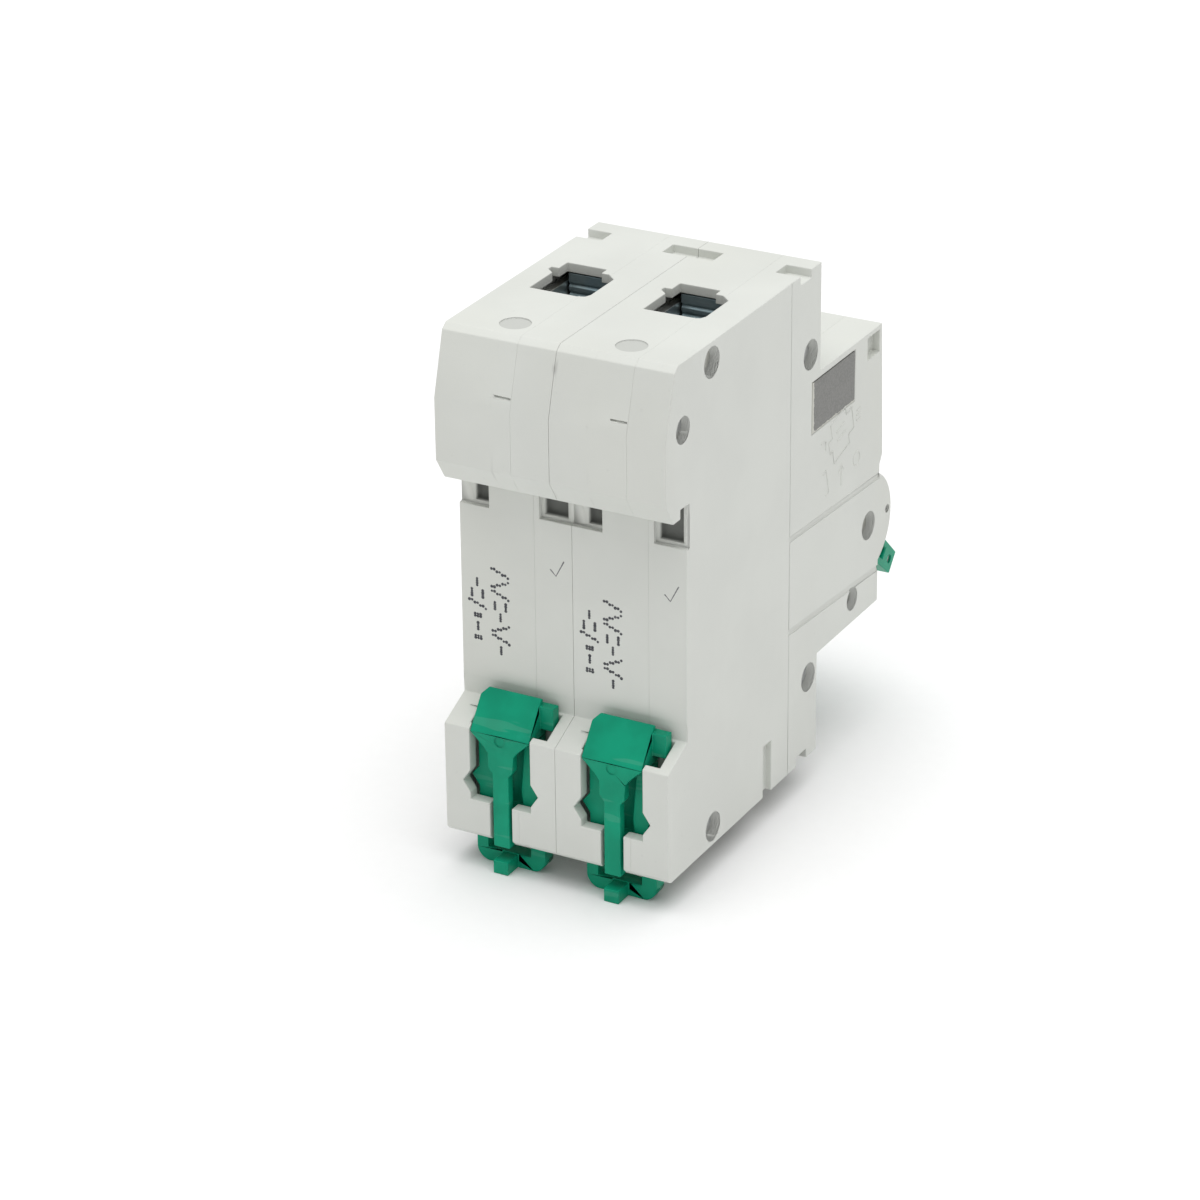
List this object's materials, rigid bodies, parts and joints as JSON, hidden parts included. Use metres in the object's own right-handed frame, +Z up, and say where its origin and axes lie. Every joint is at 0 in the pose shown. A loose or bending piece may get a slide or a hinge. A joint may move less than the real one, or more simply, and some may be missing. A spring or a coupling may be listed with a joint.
{
  "type": "two-pole miniature circuit breaker",
  "caption": "Two joined rail-mounted miniature circuit breaker poles with tied toggles, sliding rail clips and cage terminals.",
  "frame": {"origin": "on the rail seat, on the 35 mm rail's centre line and midway between the two poles", "axes": "+Z up along the case's height, +Y back into the rail (the outward normal of the rail seat), +X across the poles; the toggle faces -Y"},
  "size_m": [0.036, 0.0801, 0.0824],
  "materials": {
    "case_grey": "fine matte moulded polyamide",
    "clip_green": "satin moulded",
    "label_grey": "satin printed film",
    "zinc_steel": "zinc plated",
    "dark_steel": "dark plated",
    "spring_steel": "drawn wire",
    "copper": "bare copper",
    "bimetal": "rolled strip",
    "bobbin_black": "moulded",
    "fibre": "vulcanised fibre"
  },
  "bodies": {
    "housing": {"base_shell_a": "case_grey", "cover_shell_a": "case_grey", "toggle_spring_a": "spring_steel", "fixed_contact_a": "copper", "trip_coil_a": "copper", "coil_frame_a": "zinc_steel", "coil_bobbin_a": "bobbin_black", "plunger_spring_a": "spring_steel", "bimetal_a": "bimetal", "braid_a": "copper", "arc_plates_a": "zinc_steel", "arc_cheeks_a": "fibre", "arc_runner_a": "zinc_steel", "contact_spring_a": "spring_steel", "pivot_pin_a": "zinc_steel", "top_strip_a": "dark_steel", "bottom_strip_a": "dark_steel", "base_shell_b": "case_grey", "cover_shell_b": "case_grey", "toggle_spring_b": "spring_steel", "fixed_contact_b": "copper", "trip_coil_b": "copper", "coil_frame_b": "zinc_steel", "coil_bobbin_b": "bobbin_black", "plunger_spring_b": "spring_steel", "bimetal_b": "bimetal", "braid_b": "copper", "arc_plates_b": "zinc_steel", "arc_cheeks_b": "fibre", "arc_runner_b": "zinc_steel", "contact_spring_b": "spring_steel", "pivot_pin_b": "zinc_steel", "top_strip_b": "dark_steel", "bottom_strip_b": "dark_steel", "rivets": "zinc_steel", "side_label": "label_grey"},
    "toggles": {"toggle_a": "clip_green", "toggle_b": "clip_green", "handle_tie": "zinc_steel"},
    "trip_shaft": {"trip_bar": "bobbin_black", "trip_lever_a": "bobbin_black", "trip_lever_b": "bobbin_black"},
    "link_a": {"toggle_link_a": "zinc_steel"},
    "arm_a": {"contact_arm_a": "copper"},
    "slug_a": {"plunger_a": "zinc_steel"},
    "clip_a": {"din_clip_a": "clip_green"},
    "top_driver_a": {"top_screw_a": "zinc_steel"},
    "top_clamp_a": {"top_cage_a": "zinc_steel"},
    "bottom_driver_a": {"bottom_screw_a": "zinc_steel"},
    "bottom_clamp_a": {"bottom_cage_a": "zinc_steel"},
    "link_b": {"toggle_link_b": "zinc_steel"},
    "arm_b": {"contact_arm_b": "copper"},
    "slug_b": {"plunger_b": "zinc_steel"},
    "clip_b": {"din_clip_b": "clip_green"},
    "top_driver_b": {"top_screw_b": "zinc_steel"},
    "top_clamp_b": {"top_cage_b": "zinc_steel"},
    "bottom_driver_b": {"bottom_screw_b": "zinc_steel"},
    "bottom_clamp_b": {"bottom_cage_b": "zinc_steel"}
  },
  "joints": [
    {"name": "toggle_hinge", "type": "hinge", "parent": "housing", "child": "toggles", "pos_m": [0, -0.0586, -0.0082], "axis": [-1, 0, 0], "range_deg": [0, 84]},
    {"name": "trip_hinge", "type": "hinge", "parent": "housing", "child": "trip_shaft", "pos_m": [0, -0.043, 0.004], "axis": [1, 0, 0], "range_deg": [0, 8], "stiffness_Nm_per_rad": 0.02},
    {"name": "link_pin_a", "type": "hinge", "parent": "toggles", "child": "link_a", "pos_m": [0.009, -0.05513, -0.00518], "axis": [1, 0, 0], "range_deg": [0, 105]},
    {"name": "contact_hinge_a", "type": "hinge", "parent": "housing", "child": "arm_a", "pos_m": [0.009, -0.0385, -0.006], "axis": [1, 0, 0], "range_deg": [0, 20], "deforming": ["braid_a", "contact_spring_a"]},
    {"name": "plunger_slide_a", "type": "slide", "parent": "housing", "child": "slug_a", "axis": [0, -1, 0], "range_m": [0, 0.003], "stiffness_N_per_m": 120, "deforming": ["plunger_spring_a"]},
    {"name": "clip_slide_a", "type": "slide", "parent": "housing", "child": "clip_a", "axis": [0, 0, -1], "range_m": [0, 0.0045], "stiffness_N_per_m": 900},
    {"name": "top_screw_turn_a", "type": "hinge", "parent": "housing", "child": "top_driver_a", "pos_m": [0.00945, -0.0411, 0.0332], "axis": [0, 1, 0], "range_deg": [0, 3240]},
    {"name": "top_clamp_slide_a", "type": "slide", "parent": "housing", "child": "top_clamp_a", "axis": [0, -1, 0], "range_m": [0, 0.0072]},
    {"name": "bottom_screw_turn_a", "type": "hinge", "parent": "housing", "child": "bottom_driver_a", "pos_m": [0.00945, -0.0411, -0.0313], "axis": [0, 1, 0], "range_deg": [0, 3240]},
    {"name": "bottom_clamp_slide_a", "type": "slide", "parent": "housing", "child": "bottom_clamp_a", "axis": [0, -1, 0], "range_m": [0, 0.0072]},
    {"name": "link_pin_b", "type": "hinge", "parent": "toggles", "child": "link_b", "pos_m": [-0.009, -0.05513, -0.00518], "axis": [1, 0, 0], "range_deg": [0, 105]},
    {"name": "contact_hinge_b", "type": "hinge", "parent": "housing", "child": "arm_b", "pos_m": [-0.009, -0.0385, -0.006], "axis": [1, 0, 0], "range_deg": [0, 20], "deforming": ["braid_b", "contact_spring_b"]},
    {"name": "plunger_slide_b", "type": "slide", "parent": "housing", "child": "slug_b", "axis": [0, -1, 0], "range_m": [0, 0.003], "stiffness_N_per_m": 120, "deforming": ["plunger_spring_b"]},
    {"name": "clip_slide_b", "type": "slide", "parent": "housing", "child": "clip_b", "axis": [0, 0, -1], "range_m": [0, 0.0045], "stiffness_N_per_m": 900},
    {"name": "top_screw_turn_b", "type": "hinge", "parent": "housing", "child": "top_driver_b", "pos_m": [-0.00855, -0.0411, 0.0332], "axis": [0, 1, 0], "range_deg": [0, 3240]},
    {"name": "top_clamp_slide_b", "type": "slide", "parent": "housing", "child": "top_clamp_b", "axis": [0, -1, 0], "range_m": [0, 0.0072]},
    {"name": "bottom_screw_turn_b", "type": "hinge", "parent": "housing", "child": "bottom_driver_b", "pos_m": [-0.00855, -0.0411, -0.0313], "axis": [0, 1, 0], "range_deg": [0, 3240]},
    {"name": "bottom_clamp_slide_b", "type": "slide", "parent": "housing", "child": "bottom_clamp_b", "axis": [0, -1, 0], "range_m": [0, 0.0072]}
  ],
  "couplings": [
    {"joint": "link_pin_a", "follows": "toggle_hinge", "ratio": 1.24},
    {"joint": "contact_hinge_a", "follows": "toggle_hinge", "ratio": 0.2381},
    {"joint": "top_screw_turn_a", "follows": "top_clamp_slide_a", "rad_per_m": 7854},
    {"joint": "bottom_screw_turn_a", "follows": "bottom_clamp_slide_a", "rad_per_m": 7854},
    {"joint": "link_pin_b", "follows": "toggle_hinge", "ratio": 1.24},
    {"joint": "contact_hinge_b", "follows": "toggle_hinge", "ratio": 0.2381},
    {"joint": "top_screw_turn_b", "follows": "top_clamp_slide_b", "rad_per_m": 7854},
    {"joint": "bottom_screw_turn_b", "follows": "bottom_clamp_slide_b", "rad_per_m": 7854}
  ]
}
